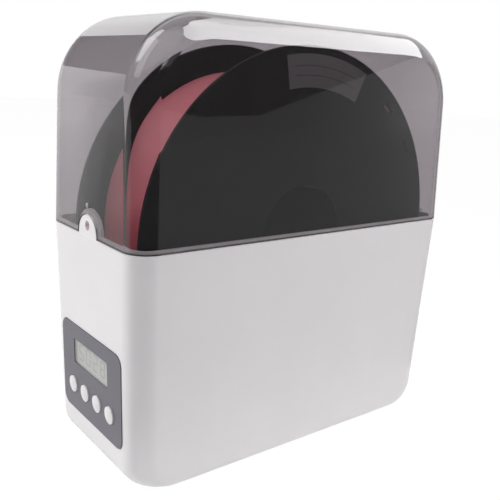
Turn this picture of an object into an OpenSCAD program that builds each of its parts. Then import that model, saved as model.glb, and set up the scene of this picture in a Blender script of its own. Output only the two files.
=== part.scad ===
// Heated storage box for one spool of printer filament, with a scale under the spool.
// Millimetres. +X points to the lid's hinge, -X to the control panel, +Z is up.
// The ground is z = 0, and the frame's origin lies under the middle of the whole part.

/* [Case] */
// Length of the case at the rim
case_length = 220; // [219:1:270]
// Width of the case at the rim
case_width = 100; // [98:1:124]
// Height of the housing's rim above the ground
rim_height = 127; // [122:1:140]
// Height of the closed lid above the ground
case_height = 237; // [232:1:290]
// Draft of the end faces, in degrees
end_draft = 1.2; // [0.5:0.1:1.5]
// Draft of the front and back faces, in degrees
side_draft = 1.7; // [0.5:0.1:2]
// Radius of the upright edges and of the lid's front and back edges
edge_radius = 12.5; // [8:0.5:14]
// Radius of the lid's upper corners in the front view
lid_corner = 41; // [30:1:48]
// Radius of the housing's lower corners in the front view
base_corner = 13; // [8:0.5:15]
// Gap between the lid's edge and the rim
lid_gap = 0.4; // [0.3:0.1:0.8]
// Height of the liner's lip above the rim
lip_rise = 2; // [1.5:0.1:3]

/* [Walls] */
// Wall of the housing
housing_wall = 2.4; // [2:0.1:2.8]
// Wall of the clear lid
lid_wall = 2.2; // [1.8:0.1:2.6]
// Wall of the chamber liner
liner_wall = 1.5; // [1.2:0.1:1.8]
// Thickness of the base plate
plate_thickness = 3; // [2.5:0.1:3.5]
// Gap between pieces that sit inside one another
fit_gap = 0.3; // [0.2:0.05:0.4]

/* [Filament outlet] */
// Radius of the outlet tab's round top
tab_radius = 10; // [8:0.5:12]
// Height of the tab's arc centre above the rim
tab_rise = 1; // [0:0.5:3]
// Radius of the outlet hole
outlet_radius = 2.5; // [1.5:0.1:3.5]
// Height of the outlet hole above the rim
outlet_rise = 5.5; // [4.5:0.5:7]

/* [Control panel] */
// Width of the bezel
panel_width = 70; // [66:1:72]
// Height of the bezel
panel_height = 51.5; // [50:0.5:56]
// Depth of the bezel's centre below the rim
panel_drop = 78.75; // [74:0.25:82]
// Width of the LCD window
lcd_width = 40; // [34:1:44]
// Height of the LCD window
lcd_height = 14.2; // [12:0.1:15]
// Diameter of a button
button_diameter = 9.3; // [8:0.1:10.5]
// Distance between neighbouring buttons
button_pitch = 14.6; // [13:0.1:15]
// How far a button stands proud of the bezel
button_proud = 1.4; // [1.2:0.1:2]
// How far a button travels
button_travel = 0.8; // [0.3:0.1:0.8]

/* [Spool] */
// Diameter of the spool's flanges
spool_diameter = 204; // [165:1:205]
// Width of the spool over its flanges
spool_width = 70; // [55:1:71]
// Thickness of a flange at its rim
flange_thickness = 3; // [2.4:0.1:4]
// Diameter of the spool's bore
spool_bore = 55; // [45:1:60]
// Diameter of the core that the filament is wound on
core_diameter = 110; // [80:1:115]
// Diameter of the wound filament, which stays 6 mm inside the flanges' rims
winding_diameter = 173; // [120:1:193]
// Height of the spool's lowest point above the ground
spool_seat = 22.5; // [22.5:0.5:29]
// Distance of the spool's middle from the case's middle, towards the hinge
spool_x = 2.5; // [0:0.5:3]

/* [Rollers] */
// Distance of each roller axle from the spool's middle
roller_offset = 58; // [56:1:60]
// Radius of a roller's tyre
roller_radius = 9; // [8:0.5:10]
// Radius of a roller axle
axle_radius = 2.5; // [2:0.25:3]
// Width of a roller
roller_width = 5; // [4:0.5:5]

/* [Floor and scale] */
// Height of the liner's floor above the ground
floor_height = 20; // [20:0.5:22]
// Length of the load cell
cell_length = 60; // [50:1:70]
// Width of the load cell
cell_width = 12; // [10:0.5:14]
// Height of the load cell
cell_height = 6.4; // [6:0.1:7]
// Length of the heat plate
heater_length = 96; // [80:1:98]
// Width of the heat plate
heater_width = 60; // [50:1:62]

/* [Hinge] */
// Distance of the hinge axis beyond the end face
hinge_reach = 3.6; // [3.6:0.1:4.5]
// Radius of the hinge knuckles
knuckle_radius = 3.2; // [3:0.1:3.2]
// Radius of the hinge pin
pin_radius = 1.5; // [1:0.1:1.7]
// Length of the hinge pin
pin_length = 56; // [48:1:58]

/* [Power inlet] */
// Height of the DC inlet above the ground
inlet_height = 30; // [26:1:40]
// Radius of the inlet's centre pin
inlet_pin_radius = 1.05; // [0.9:0.05:1.3]
// Radius of the inlet's socket
socket_radius = 2.85; // [2.75:0.05:3.1]

/* [Hidden] */

$fn = 64;
arc_step = 11.25;
end_slope = tan(end_draft);
side_slope = tan(side_draft);
eps = 0.01;

// Levels of the floor, from the ground up
foot_lift = 2;
foot_radius = 7;
foot_sink = 1;
plate_top = foot_lift + plate_thickness;
shell_floor = plate_top + housing_wall;
liner_floor = 2;
liner_bottom = floor_height - liner_floor;
carriage_play = 1;
carriage_thickness = 2.5;
carriage_top = liner_bottom - carriage_play;
carriage_bottom = carriage_top - carriage_thickness;
cell_seat = 1.6;
cell_bottom = plate_top + cell_seat;
cell_top = cell_bottom + cell_height;

// Spool and rollers
spool_radius = spool_diameter / 2;
spool_z = spool_seat + spool_radius;
wound_radius = min(winding_diameter, spool_diameter - 12) / 2;
bore_wall = 2;
roller_z = spool_z - sqrt(pow(spool_radius + roller_radius + fit_gap, 2) - pow(roller_offset, 2));
ear_inner = spool_width / 2 + 2;
ear_thickness = 4;
ear_outer = ear_inner + ear_thickness;
bush_wall = 1.5;
tyre_thickness = 1.6;
bush_radius = axle_radius + bush_wall;
ear_radius = bush_radius + 3;
ear_half = 7.5;
running_gap = 0.05;
axle_half = ear_outer + 1;

// Liner
liner_offset = housing_wall + fit_gap;
liner_waist_z = 100;
liner_knee_z = 28;
knee_inset = 33;
foot_inset = 40;
column_x = 40;
column_y = 36;
column_radius = 4;
pilot_radius = 1.2;
tab_shield = 3;

// Base plate and its screws
plate_corner = 8;
plate_half_length = case_length / 2 - 19;
plate_half_width = half_width(foot_lift) - housing_wall - 0.6;
base_screw_x = case_length / 2 - 26;
base_screw_y = plate_half_width - 8.5;
base_screws_at = [for (x = [-1, 0, 1], y = [-1, 1]) [x * base_screw_x, y * base_screw_y]];
boss_radius = 3.5;
boss_height = 5;
foot_x = case_length / 2 - 42;
foot_y = plate_half_width - 14;
service_length = 112;
service_width = 60;

// Control panel, in depths behind the end face
panel_corner = 6;
bezel_front = -0.4;
bezel_back = 1.4;
panel_lap = 3.9;
board_front = 9;
board_thickness = 1.6;
board_width = 62;
board_height = 42;
post_y = 28;
post_z = 18.5;
post_radius = 2.5;
lcd_rise = 10.15;
button_drop = 10.75;
button_gap = 0.3;
collar_radius = 5.8;
collar_thickness = 0.8;
switch_height = 3.5;
switch_size = 6;
switch_well = 2;
stem_radius = 2;
plunger_radius = 1.7;

// Heater
heater_thickness = 1.5;
heater_corner = 4;
heater_margin = 7;
film_thickness = 0.4;

// Power board
power_length = 32;
power_width = 54;
power_standoff = 1.6;
power_x = case_length / 2 - 12 - power_length;
power_bottom = shell_floor + power_standoff;

// Hinge
hinge_x = case_length / 2 + hinge_reach;
knuckle_gap = 0.4;
knuckle_ends = [-1, -0.643, -0.2, 0.2, 0.643, 1] * pin_length / 2;

// The bump above the tab, and the shift that centres the whole part on the origin
bump_radius = 1.5;
bump_z = rim_height + tab_rise + tab_radius + 3.6;
front_reach = half_length(bump_z) + bump_radius;
back_reach = hinge_x + knuckle_radius;
centre_shift = (front_reach - back_reach) / 2;

// Half sizes of the case at a height, which lean in above and below the rim
function half_length(z) = case_length / 2 - end_slope * abs(z - rim_height);
function half_width(z) = case_width / 2 - side_slope * abs(z - rim_height);

// A level ring of points: a rectangle with round corners
function ring(half_x, half_y, r, z) = [
    for (quarter = [0:3], t = [0:arc_step:90])
        let (
            sx = quarter == 0 || quarter == 3 ? 1 : -1,
            sy = quarter < 2 ? 1 : -1,
            a = quarter * 90 + t
        )
        [sx * (half_x - r) + r * cos(a), sy * (half_y - r) + r * sin(a), z]
];

// Half of the lid's outline in the front view, moved in by an inset
function lid_outline(offset, inset, z0) =
    let (
        zc = case_height - lid_corner,
        xc = half_length(zc) - lid_corner,
        r = lid_corner - offset - inset
    )
    concat(
        [[case_length / 2 - offset - inset - end_slope * (z0 - rim_height), z0]],
        [for (t = [0:arc_step / 2:90]) [xc + r * cos(t), zc + r * sin(t)]]
    );

// The lid's outlines at steps through its front and back edge rounding
function lid_points(offset, z0) =
    let (r = edge_radius - offset)
    [
        for (side = [-1, 1], a = [0:arc_step:90])
            let (y = case_width / 2 - offset - r * (1 - sin(a)))
            for (end = [-1, 1], p = lid_outline(offset, r * (1 - cos(a)), z0))
                [end * p[0], side * (y - side_slope * (p[1] - rim_height)), p[1]]
    ];

// Rings down the housing, which round its lower corners in the front view
function housing_points(offset, bottom, top) =
    let (r = base_corner - offset, rise = top - rim_height)
    concat(
        ring(
            case_length / 2 - offset + end_slope * rise, case_width / 2 - offset + side_slope * rise,
            edge_radius - offset, top
        ),
        [
            for (t = [0:arc_step:90])
                let (z = bottom + r * (1 - sin(t)))
                each ring(
                    half_length(z) - offset - r * (1 - cos(t)), half_width(z) - offset, edge_radius - offset, z
                )
        ]
    );

// Rings down the liner, whose ends slope in under the spool
function liner_points(inset, bottom, top) =
    let (r = edge_radius - liner_offset - inset, half_x = case_length / 2 - liner_offset - inset)
    concat(
        ring(half_x, half_width(rim_height) - liner_offset - inset, r, top),
        ring(half_length(liner_waist_z) - liner_offset - inset, half_width(liner_waist_z) - liner_offset - inset,
            r, liner_waist_z),
        ring(case_length / 2 - knee_inset - inset, half_width(liner_knee_z) - liner_offset - inset,
            r, liner_knee_z),
        ring(case_length / 2 - foot_inset - inset, half_width(bottom) - liner_offset - inset, r, bottom)
    );

module convex(points) {
    hull() polyhedron(points = points, faces = [[for (i = [0:len(points) - 1]) i]]);
}

module centred() {
    translate([centre_shift, 0, 0]) children();
}

// Places children on an end face at the rim: x runs into the case, z up along the drafted face
module left_end() {
    translate([-case_length / 2, 0, rim_height]) rotate([0, -end_draft, 0]) children();
}

module right_end() {
    translate([case_length / 2, 0, rim_height]) rotate([0, end_draft, 0]) mirror([1, 0, 0]) children();
}

// Children at the middle of the control panel
module panel() {
    left_end() translate([0, 0, -panel_drop]) children();
}

module inlet() {
    right_end() translate([0, 0, inlet_height - rim_height]) children();
}

// A round bar along X or Y, or up Z, from one coordinate to another
module bar_x(r, from, to) {
    translate([from, 0, 0]) rotate([0, 90, 0]) cylinder(r = r, h = to - from);
}

module bar_y(r, from, to) {
    translate([0, from, 0]) rotate([-90, 0, 0]) cylinder(r = r, h = to - from);
}

module bar_z(r, from, to) {
    translate([0, 0, from]) cylinder(r = r, h = to - from);
}

module round_rect(size, r) {
    square([size[0] - 2 * r, size[1]], center = true);
    square([size[0], size[1] - 2 * r], center = true);
    for (x = [-1, 1], y = [-1, 1])
        translate([x * (size[0] / 2 - r), y * (size[1] / 2 - r)]) circle(r = r);
}

module slab(size, r, from, to) {
    translate([0, 0, from]) linear_extrude(height = to - from) round_rect(size, r);
}

// A round-cornered plate in the plane of an end face, from one depth to another
module end_slab(size, r, from, to) {
    translate([from, 0, 0]) rotate([0, 90, 0]) rotate([0, 0, 90])
        linear_extrude(height = to - from) round_rect(size, r);
}

module at_corners(x, y) {
    for (sx = [-1, 1], sy = [-1, 1]) translate([sx * x, sy * y, 0]) children();
}

// A cross-recessed screw that stands on its head's seat, with its shank down -Z
module screw(shank_radius, length, head_radius, head_height) {
    difference() {
        union() {
            cylinder(r = head_radius, h = head_height);
            translate([0, 0, -length]) cylinder(r = shank_radius, h = length + eps);
        }
        for (turn = [0, 90])
            rotate([0, 0, turn])
                translate([-0.65 * head_radius, -0.15 * head_radius, 0.45 * head_height])
                    cube([1.3 * head_radius, 0.3 * head_radius, head_height]);
    }
}

// One hinge knuckle with its web, which reaches back to the wall above or below the rim
module knuckle(from, to, web) {
    wall_x = -hinge_reach - 0.8;
    translate([hinge_x, 0, rim_height]) {
        bar_y(knuckle_radius, from, to);
        translate([0, to, 0]) rotate([90, 0, 0]) linear_extrude(height = to - from)
            polygon([
                [wall_x, web * lid_gap], [0, web * lid_gap], [0.7 * knuckle_radius, web * 0.7 * knuckle_radius],
                [0, web * knuckle_radius], [wall_x, web * 8.5]
            ]);
    }
}

module pin_bore(clearance) {
    translate([hinge_x, 0, rim_height]) bar_y(pin_radius + clearance, -pin_length / 2 - 1, pin_length / 2 + 1);
}

// The outlet tab's outline as a plate in the plane of the end face
module tab(r, from, to, bottom) {
    translate([0, 0, rim_height + tab_rise]) bar_x(r, from, to);
    translate([from, -r, rim_height + bottom]) cube([to - from, 2 * r, tab_rise - bottom]);
}

// Knuckles 0, 2 and 4 are the housing's, 1 and 3 the lid's
module housing_knuckles() {
    for (i = [0, 2, 4]) knuckle(knuckle_ends[i], knuckle_ends[i + 1], -1);
}

module lid_knuckles() {
    for (i = [1, 3]) knuckle(knuckle_ends[i] + knuckle_gap, knuckle_ends[i + 1] - knuckle_gap, 1);
}

module housing() {
    color("whitesmoke") centred() difference() {
        union() {
            difference() {
                convex(housing_points(0, foot_lift, rim_height));
                convex(housing_points(housing_wall, shell_floor, rim_height + 1));
            }
            tab(tab_radius, -case_length / 2 + 0.2, -case_length / 2 + housing_wall, -1);
            at_corners(column_x, column_y) bar_z(column_radius, shell_floor - 1, liner_bottom);
            for (p = base_screws_at) translate(p)
                bar_z(boss_radius, shell_floor - 1, shell_floor + boss_height);
            translate([power_x + power_length / 2, 0, 0]) at_corners(power_length / 2 - 3, power_width / 2 - 3)
                bar_z(2.5, shell_floor - 1, power_bottom);
            housing_knuckles();
        }
        translate([0, 0, rim_height + outlet_rise])
            bar_x(outlet_radius, -case_length / 2 - 1, -case_length / 2 + 5);
        slab([service_length, service_width], 6, foot_lift, shell_floor + 1);
        slab([2 * plate_half_length + 1, 2 * plate_half_width + 1], plate_corner, foot_lift - 1, plate_top);
        at_corners(column_x, column_y) bar_z(pilot_radius, plate_top - 1, liner_bottom + 1);
        for (p = base_screws_at) translate(p) bar_z(pilot_radius, plate_top - 1, shell_floor + boss_height + 1);
        translate([power_x + power_length / 2, 0, 0]) at_corners(power_length / 2 - 3, power_width / 2 - 3)
            bar_z(0.9, shell_floor - 0.5, power_bottom + 1);
        panel() {
            end_slab([panel_width + 0.5, panel_height + 0.5], panel_corner, -1, bezel_back);
            end_slab([panel_width - 2 * panel_lap, panel_height - 2 * panel_lap], 2, 0, housing_wall + 2);
        }
        inlet() bar_x(4.1, -1, housing_wall + 2);
        pin_bore(0.02);
    }
}

module base_plate() {
    color("gainsboro") centred() difference() {
        union() {
            slab([2 * plate_half_length, 2 * plate_half_width], plate_corner, foot_lift, plate_top);
            translate([-cell_length / 2, -cell_width / 2, plate_top - eps])
                cube([cell_length * 0.3, cell_width, cell_seat + eps]);
        }
        at_corners(foot_x, foot_y) bar_z(foot_radius + 0.1, foot_lift - 1, foot_lift + foot_sink);
        for (p = base_screws_at) translate(p) {
            bar_z(1.6, 0, plate_top + 1);
            bar_z(2.9, 0, foot_lift + 1.6);
        }
        for (x = cell_screws()) translate([-x, 0, 0]) {
            bar_z(1.6, 0, cell_bottom + 1);
            bar_z(2.9, 0, foot_lift + 1.8);
        }
    }
}

module rubber_feet() {
    color("dimgray") centred() at_corners(foot_x, foot_y) {
        translate([0, 0, 0.6]) cylinder(r = foot_radius, h = foot_lift + foot_sink - 0.6);
        cylinder(r1 = foot_radius - 0.6, r2 = foot_radius, h = 0.6);
    }
}

module base_screws() {
    color("silver") centred() for (p = base_screws_at)
        translate([p[0], p[1], foot_lift + 1.6]) mirror([0, 0, 1]) screw(1.1, 9, 2.6, 1.4);
}

// Distances of the load cell's screws from its middle, at either end
function cell_screws() = [cell_length / 2 - 4, cell_length / 2 - 13];

module chamber_liner() {
    color("white") centred() difference() {
        union() {
            difference() {
                convex(liner_points(0, liner_bottom, rim_height + lip_rise));
                convex(liner_points(liner_wall, floor_height, rim_height + lip_rise + 1));
            }
            translate([liner_offset + 0.3 - case_length / 2, 0, 0])
                tab(tab_radius + tab_shield, 0, liner_wall, -4);
        }
        translate([0, 0, rim_height + outlet_rise])
            bar_x(outlet_radius + 0.5, -case_length / 2, -case_length / 2 + 8);
        slab([heater_length - 2 * heater_margin, heater_width - 2 * heater_margin], 3, 0, floor_height + 1);
        at_corners(column_x, column_y) bar_z(1.5, 0, floor_height + 1);
        at_corners(heater_length / 2 - 4, heater_width / 2 - 3.5) bar_z(0.8, 0, floor_height + 1);
        translate([spool_x, 0, 0]) at_corners(roller_offset, ear_inner + ear_thickness / 2)
            slab([2 * ear_half + 1.6, ear_thickness + 1.4], 2, 0, floor_height + 4);
    }
}

module liner_screws() {
    color("silver") centred() at_corners(column_x, column_y)
        translate([0, 0, floor_height]) screw(1.1, 9, 2.6, 1.4);
}

module hinge_pin() {
    color("silver") centred() translate([hinge_x, 0, rim_height])
        bar_y(pin_radius, -pin_length / 2, pin_length / 2);
}

function button_y(i) = (1.5 - i) * button_pitch;

module control_bezel() {
    color("dimgray") centred() panel() difference() {
        union() {
            end_slab([panel_width, panel_height], panel_corner, bezel_front, bezel_back);
            for (y = [-1, 1], z = [-1, 1])
                translate([0, y * post_y, z * post_z]) bar_x(post_radius, 0, board_front);
            translate([0, 0, lcd_rise]) difference() {
                end_slab([lcd_width + 9, lcd_height + 7], 2, 0, bezel_back + 2);
                end_slab([lcd_width + 6.6, lcd_height + 4.6], 1, bezel_back, bezel_back + 3);
            }
        }
        translate([0, 0, lcd_rise]) end_slab([lcd_width, lcd_height], 1, -2, bezel_back + 1);
        for (i = [0:3]) translate([0, button_y(i), -button_drop])
            bar_x(button_diameter / 2 + button_gap, -2, bezel_back + 1);
        for (y = [-1, 1], z = [-1, 1])
            translate([0, y * post_y, z * post_z]) bar_x(0.8, bezel_back, board_front + 1);
    }
}

module lcd_window() {
    color("silver", 0.5) centred() panel() translate([0, 0, lcd_rise])
        end_slab([lcd_width - 0.2, lcd_height - 0.2], 0.9, 0.1, bezel_back - 0.1);
}

module lcd_panel() {
    color("darkseagreen") centred() panel() translate([0, 0, lcd_rise])
        end_slab([lcd_width + 6, lcd_height + 4], 0.5, bezel_back + 0.1, bezel_back + 2.8);
}

module lcd_backlight() {
    color("white") centred() panel() translate([0, 0, lcd_rise])
        end_slab([lcd_width + 6, lcd_height + 4], 0.5, bezel_back + 2.8, board_front);
}

module display_board() {
    color("seagreen") centred() panel() difference() {
        union() {
            end_slab([board_width, board_height], 1, board_front, board_front + board_thickness);
            translate([board_front + board_thickness, 8, -6]) cube([1.8, 10, 10]);
            translate([board_front + board_thickness, -22, -14]) cube([2.6, 12, 5]);
        }
        for (y = [-1, 1], z = [-1, 1])
            translate([0, y * post_y, z * post_z]) bar_x(1.2, 0, board_front + 5);
    }
}

module display_screws() {
    color("silver") centred() panel() for (y = [-1, 1], z = [-1, 1])
        translate([board_front + board_thickness, y * post_y, z * post_z])
            rotate([0, 90, 0]) screw(0.7, 6, 1.9, 1.1);
}

module tact_switches() {
    color("black") centred() panel() for (i = [0:3])
        translate([board_front - switch_height, button_y(i), -button_drop]) difference() {
            translate([0, -switch_size / 2, -switch_size / 2]) cube([switch_height, switch_size, switch_size]);
            bar_x(switch_well, -1, switch_height - 0.5);
        }
}

// A domed cap with a collar behind the bezel and a stem that meets its switch's plunger
module button(i) {
    r = button_diameter / 2;
    front = bezel_front - button_proud;
    collar = bezel_back + fit_gap;
    color("white") centred() panel() translate([0, button_y(i), -button_drop]) {
        intersection() {
            bar_x(r, front, collar + eps);
            translate([front + 3 * r, 0, 0]) sphere(r = 3 * r);
        }
        bar_x(collar_radius, collar, collar + collar_thickness);
        bar_x(stem_radius, collar, stem_end());
    }
}

function stem_end() = board_front - switch_height - button_travel - fit_gap;

module switch_plunger(i) {
    color("gold") centred() panel() translate([0, button_y(i), -button_drop])
        bar_x(plunger_radius, stem_end(), board_front - 0.5 - button_travel - fit_gap);
}

module heat_plate() {
    color("lightgray") centred() difference() {
        slab([heater_length, heater_width], heater_corner, floor_height, floor_height + heater_thickness);
        at_corners(heater_length / 2 - 4, heater_width / 2 - 3.5) bar_z(1.2, 0, floor_height + 3);
    }
}

module heat_plate_screws() {
    color("silver") centred() at_corners(heater_length / 2 - 4, heater_width / 2 - 3.5)
        translate([0, 0, floor_height + heater_thickness]) screw(0.75, 3.2, 2, 1);
}

module heater_film() {
    color("peru") centred()
        slab([heater_length - 2 * heater_margin - 2, heater_width - 2 * heater_margin - 2], 2,
            floor_height - film_thickness, floor_height);
}

// The thermal devices hang from the film, clear of the carriage's spine
module thermal_cutout() {
    color("black") centred() translate([10, 14, floor_height - film_thickness - 3]) {
        cube([16, 7, 3]);
        for (y = [1.2, 4.8]) translate([15.9, y, 1]) cube([5, 1, 1]);
    }
}

module plate_thermistor() {
    color("orange") centred() translate([-18, -18, floor_height - film_thickness - 1.2]) {
        bar_x(1.2, -3, 3);
        for (end = [-3, 3]) translate([end, 0, 0]) sphere(r = 1.2);
    }
}

module humidity_sensor() {
    size = [15, 5, 20];
    sensor_y = half_width(floor_height) - liner_offset - liner_wall - size[1] / 2 - 0.3;
    color("ivory") centred() translate([0, sensor_y, floor_height]) difference() {
        translate([-size[0] / 2, -size[1] / 2, 0]) cube(size);
        for (x = [-2:2], z = [-1:2])
            translate([x * 2.4, -size[1] / 2 - 1, 11 + z * 3]) translate([-0.7, 0, -0.9]) cube([1.4, 2.6, 1.8]);
    }
}

// A bending beam with a double-round window at its middle
module load_cell() {
    window_radius = cell_height / 2 - 0.8;
    color("silver") centred() difference() {
        translate([-cell_length / 2, -cell_width / 2, cell_bottom]) cube([cell_length, cell_width, cell_height]);
        translate([0, 0, cell_bottom + cell_height / 2]) {
            for (x = [-5, 5]) translate([x, 0, 0]) bar_y(window_radius, -cell_width, cell_width);
            translate([-5, -cell_width, -1]) cube([10, 2 * cell_width, 2]);
        }
        for (x = cell_screws()) {
            translate([-x, 0, 0]) bar_z(1.45, cell_bottom - 1, cell_bottom + 5);
            translate([x, 0, 0]) bar_z(1.45, cell_top - 5, cell_top + 1);
        }
    }
}

module load_cell_screws() {
    color("dimgray") centred() for (x = cell_screws()) {
        translate([-x, 0, foot_lift + 1.8]) mirror([0, 0, 1]) screw(1.4, 7, 2.6, 1.6);
        translate([x, 0, carriage_top - 1.6]) screw(1.4, 6.5, 2.6, 1.6);
    }
}

// An H-shaped frame on the load cell's free end, with four upright ears for the axles
module roller_carriage() {
    spine_width = 22;
    color("slategray") centred() difference() {
        union() {
            translate([spool_x, 0, carriage_bottom]) {
                translate([-roller_offset, -spine_width / 2, 0])
                    cube([2 * roller_offset, spine_width, carriage_thickness]);
                for (side = [-1, 1]) {
                    translate([side * roller_offset - ear_half, -ear_outer, 0])
                        cube([2 * ear_half, 2 * ear_outer, carriage_thickness]);
                    translate([-roller_offset, side * (spine_width / 2 - 1) - 1, -2])
                        cube([2 * roller_offset, 2, carriage_thickness]);
                }
            }
            translate([cell_length * 0.2, -spine_width / 2, cell_top])
                cube([cell_length * 0.3, spine_width, carriage_top - cell_top]);
            for (x = [-1, 1], y = [-1, 1])
                translate([spool_x + x * roller_offset, y * (ear_outer + ear_inner) / 2, 0]) ear();
        }
        for (x = [-1, 1]) translate([spool_x + x * roller_offset, 0, roller_z]) bar_y(bush_radius, -50, 50);
        for (x = cell_screws()) translate([x, 0, 0]) {
            bar_z(1.6, cell_top - 1, carriage_top + 1);
            bar_z(2.9, carriage_top - 1.6, carriage_top + 1);
        }
    }
}

// One upright ear, wide at its foot and round about its bush
module ear() {
    rise = roller_z - carriage_bottom;
    translate([0, ear_thickness / 2, carriage_bottom]) rotate([90, 0, 0]) linear_extrude(height = ear_thickness) {
        polygon([
            [-ear_half, 0], [ear_half, 0], [ear_half, carriage_thickness],
            [ear_radius, rise], [-ear_radius, rise], [-ear_half, carriage_thickness]
        ]);
        translate([0, rise]) circle(r = ear_radius);
    }
}

module axle_bushes() {
    color("ivory") centred() for (x = [-1, 1], y = [-1, 1])
        translate([spool_x + x * roller_offset, 0, roller_z]) on_side(y) difference() {
            union() {
                bar_y(bush_radius, ear_inner, ear_outer);
                bar_y(bush_radius + 1.3, ear_inner - 0.7, ear_inner);
            }
            bar_y(axle_radius + running_gap, 0, ear_outer + 1);
        }
}

// Children as they are, or mirrored to the front
module on_side(side) {
    if (side > 0) children();
    else mirror([0, 1, 0]) children();
}

module on_axle(side) {
    centred() translate([spool_x + side * roller_offset, 0, roller_z]) children();
}

module roller_axle(side) {
    color("silver") on_axle(side) bar_y(axle_radius, -axle_half, axle_half);
}

// A wheel under each flange, with a spoked web and a groove that holds its tyre
module roller_wheels(side) {
    mid = (spool_width - flange_thickness) / 2;
    hub_radius = axle_radius + 2;
    core = roller_radius - tyre_thickness;
    half = roller_width / 2;
    color("white") on_axle(side) for (y = [-1, 1]) translate([0, y * mid, 0]) difference() {
        union() {
            bar_y(core, 1.2 - half, half - 1.2);
            bar_y(hub_radius, -half, half);
            difference() {
                bar_y(core, -half, half);
                bar_y(core - 1.2, -half - 1, half + 1);
            }
        }
        bar_y(axle_radius, -roller_width, roller_width);
    }
}

module roller_tyres(side) {
    mid = (spool_width - flange_thickness) / 2;
    core = roller_radius - tyre_thickness;
    half = roller_width / 2;
    color("dimgray") on_axle(side) for (y = [-1, 1]) translate([0, y * mid, 0]) rotate([90, 0, 0])
        rotate_extrude() polygon([
            [core, -half], [roller_radius - 0.6, -half], [roller_radius, -half + 0.6],
            [roller_radius, half - 0.6], [roller_radius - 0.6, half], [core, half]
        ]);
}

// Rings that sit in the axle's ends, outside the ears
module roller_clips(side) {
    color("black") on_axle(side) for (y = [-1, 1]) on_side(y) difference() {
        bar_y(axle_radius + 1.2, ear_outer + 0.3, ear_outer + 0.8);
        bar_y(axle_radius, 0, ear_outer + 2);
    }
}

module power_board() {
    color("seagreen") centred() translate([power_x + power_length / 2, 0, 0]) difference() {
        slab([power_length, power_width], 1, power_bottom, power_bottom + board_thickness);
        at_corners(power_length / 2 - 3, power_width / 2 - 3) bar_z(1.2, 0, 30);
    }
}

// Capacitor, inductor, switching transistor on its finned sink, and two lead sockets
module power_components() {
    top = power_bottom + board_thickness;
    color("darkslategray") centred() translate([power_x, 0, 0]) {
        translate([23, -15, 0]) bar_z(4, top, top + 11);
        translate([23, 14, 0]) difference() {
            bar_z(6, top, top + 6);
            bar_z(2.5, top + 1, top + 7);
        }
        translate([18, -6, top]) {
            cube([4, 14, 12]);
            for (fin = [0:4]) translate([-3, fin * 3, 0]) cube([3 + eps, 1, 12]);
        }
        translate([3, -20, top]) cube([6, 10, 3.4]);
        translate([3, 9, top]) cube([6, 12, 3.4]);
    }
}

// Wires from the power board: a pair to the display board, a pair to the heater film, a pair to the inlet
module wiring() {
    r = 0.8;
    low = power_bottom + board_thickness + 1.7;
    board_end = board_front + board_thickness - case_length / 2;
    color("firebrick") centred() for (lane = [-1, 1]) {
        translate([board_end + 3.3, -15 + 1.5 * lane, low]) {
            bar_x(r, 0, power_x - board_end - 0.3);
            sphere(r = r);
            bar_z(r, 0, rim_height - panel_drop - 14 - low);
        }
        translate([heater_length / 2 - 10, 15 + 1.5 * lane, low]) {
            bar_x(r, 0, power_x + 13 - heater_length / 2);
            sphere(r = r);
            bar_z(r, 0, floor_height - film_thickness - low);
        }
        translate([case_length / 2 - 14.5, 2.6 * lane, 0]) bar_z(r, low - 1.7, inlet_height - 0.1);
    }
}

module power_screws() {
    color("silver") centred() translate([power_x + power_length / 2, 0, power_bottom + board_thickness])
        at_corners(power_length / 2 - 3, power_width / 2 - 3) screw(0.75, 3, 1.9, 1.1);
}

// A threaded-barrel socket with its flange outside, its body inside and three solder lugs
module dc_inlet() {
    color("black") centred() inlet() difference() {
        union() {
            bar_x(5.5, -1.5, 0);
            bar_x(4, -1, 9);
            translate([9, -3.8, -3.8]) cube([2, 7.6, 7.6]);
            for (lug = [-2.6, 0, 2.6]) translate([11 - eps, lug - 0.75, -0.3]) cube([3, 1.5, 0.6]);
        }
        bar_x(socket_radius, -2, 8);
    }
}

module dc_inlet_pin() {
    color("gold") centred() inlet() bar_x(inlet_pin_radius, -0.8, 8);
}

module dc_inlet_nut() {
    color("silver") centred() inlet() difference() {
        translate([housing_wall, 0, 0]) rotate([0, 90, 0]) cylinder(r = 5.8, h = 2, $fn = 6);
        bar_x(4.02, 0, 8);
    }
}

module lid() {
    edge_z = rim_height + lid_gap;
    color("dimgray", 0.5) centred() difference() {
        union() {
            difference() {
                convex(lid_points(0, edge_z));
                convex(lid_points(lid_wall, edge_z - 1));
            }
            translate([bump_radius - front_reach, 0, bump_z]) sphere(r = bump_radius);
            lid_knuckles();
        }
        tab(tab_radius + 0.8, -case_length / 2 - 2, -case_length / 2 + lid_wall + 2, -1);
        pin_bore(running_gap);
    }
}

module on_spool() {
    centred() translate([spool_x, 0, spool_z]) children();
}

// A flange with rounded rims and two pairs of slots that hold the filament's end
module spool_flange(side) {
    inner = spool_width / 2 - flange_thickness;
    edge = 0.6;
    color("black") on_spool() on_side(side) difference() {
        rotate([-90, 0, 0]) rotate_extrude() union() {
            translate([spool_bore / 2, inner]) square([spool_radius - spool_bore / 2 - edge, flange_thickness]);
            translate([spool_radius - edge, inner + edge]) {
                square([edge, flange_thickness - 2 * edge]);
                circle(r = edge);
                translate([0, flange_thickness - 2 * edge]) circle(r = edge);
            }
        }
        for (turn = [30, 48, 210, 228]) rotate([0, -turn, 0])
            translate([spool_radius - 9.6, inner - 1, -4]) cube([2.4, flange_thickness + 2, 8]);
    }
}

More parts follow.
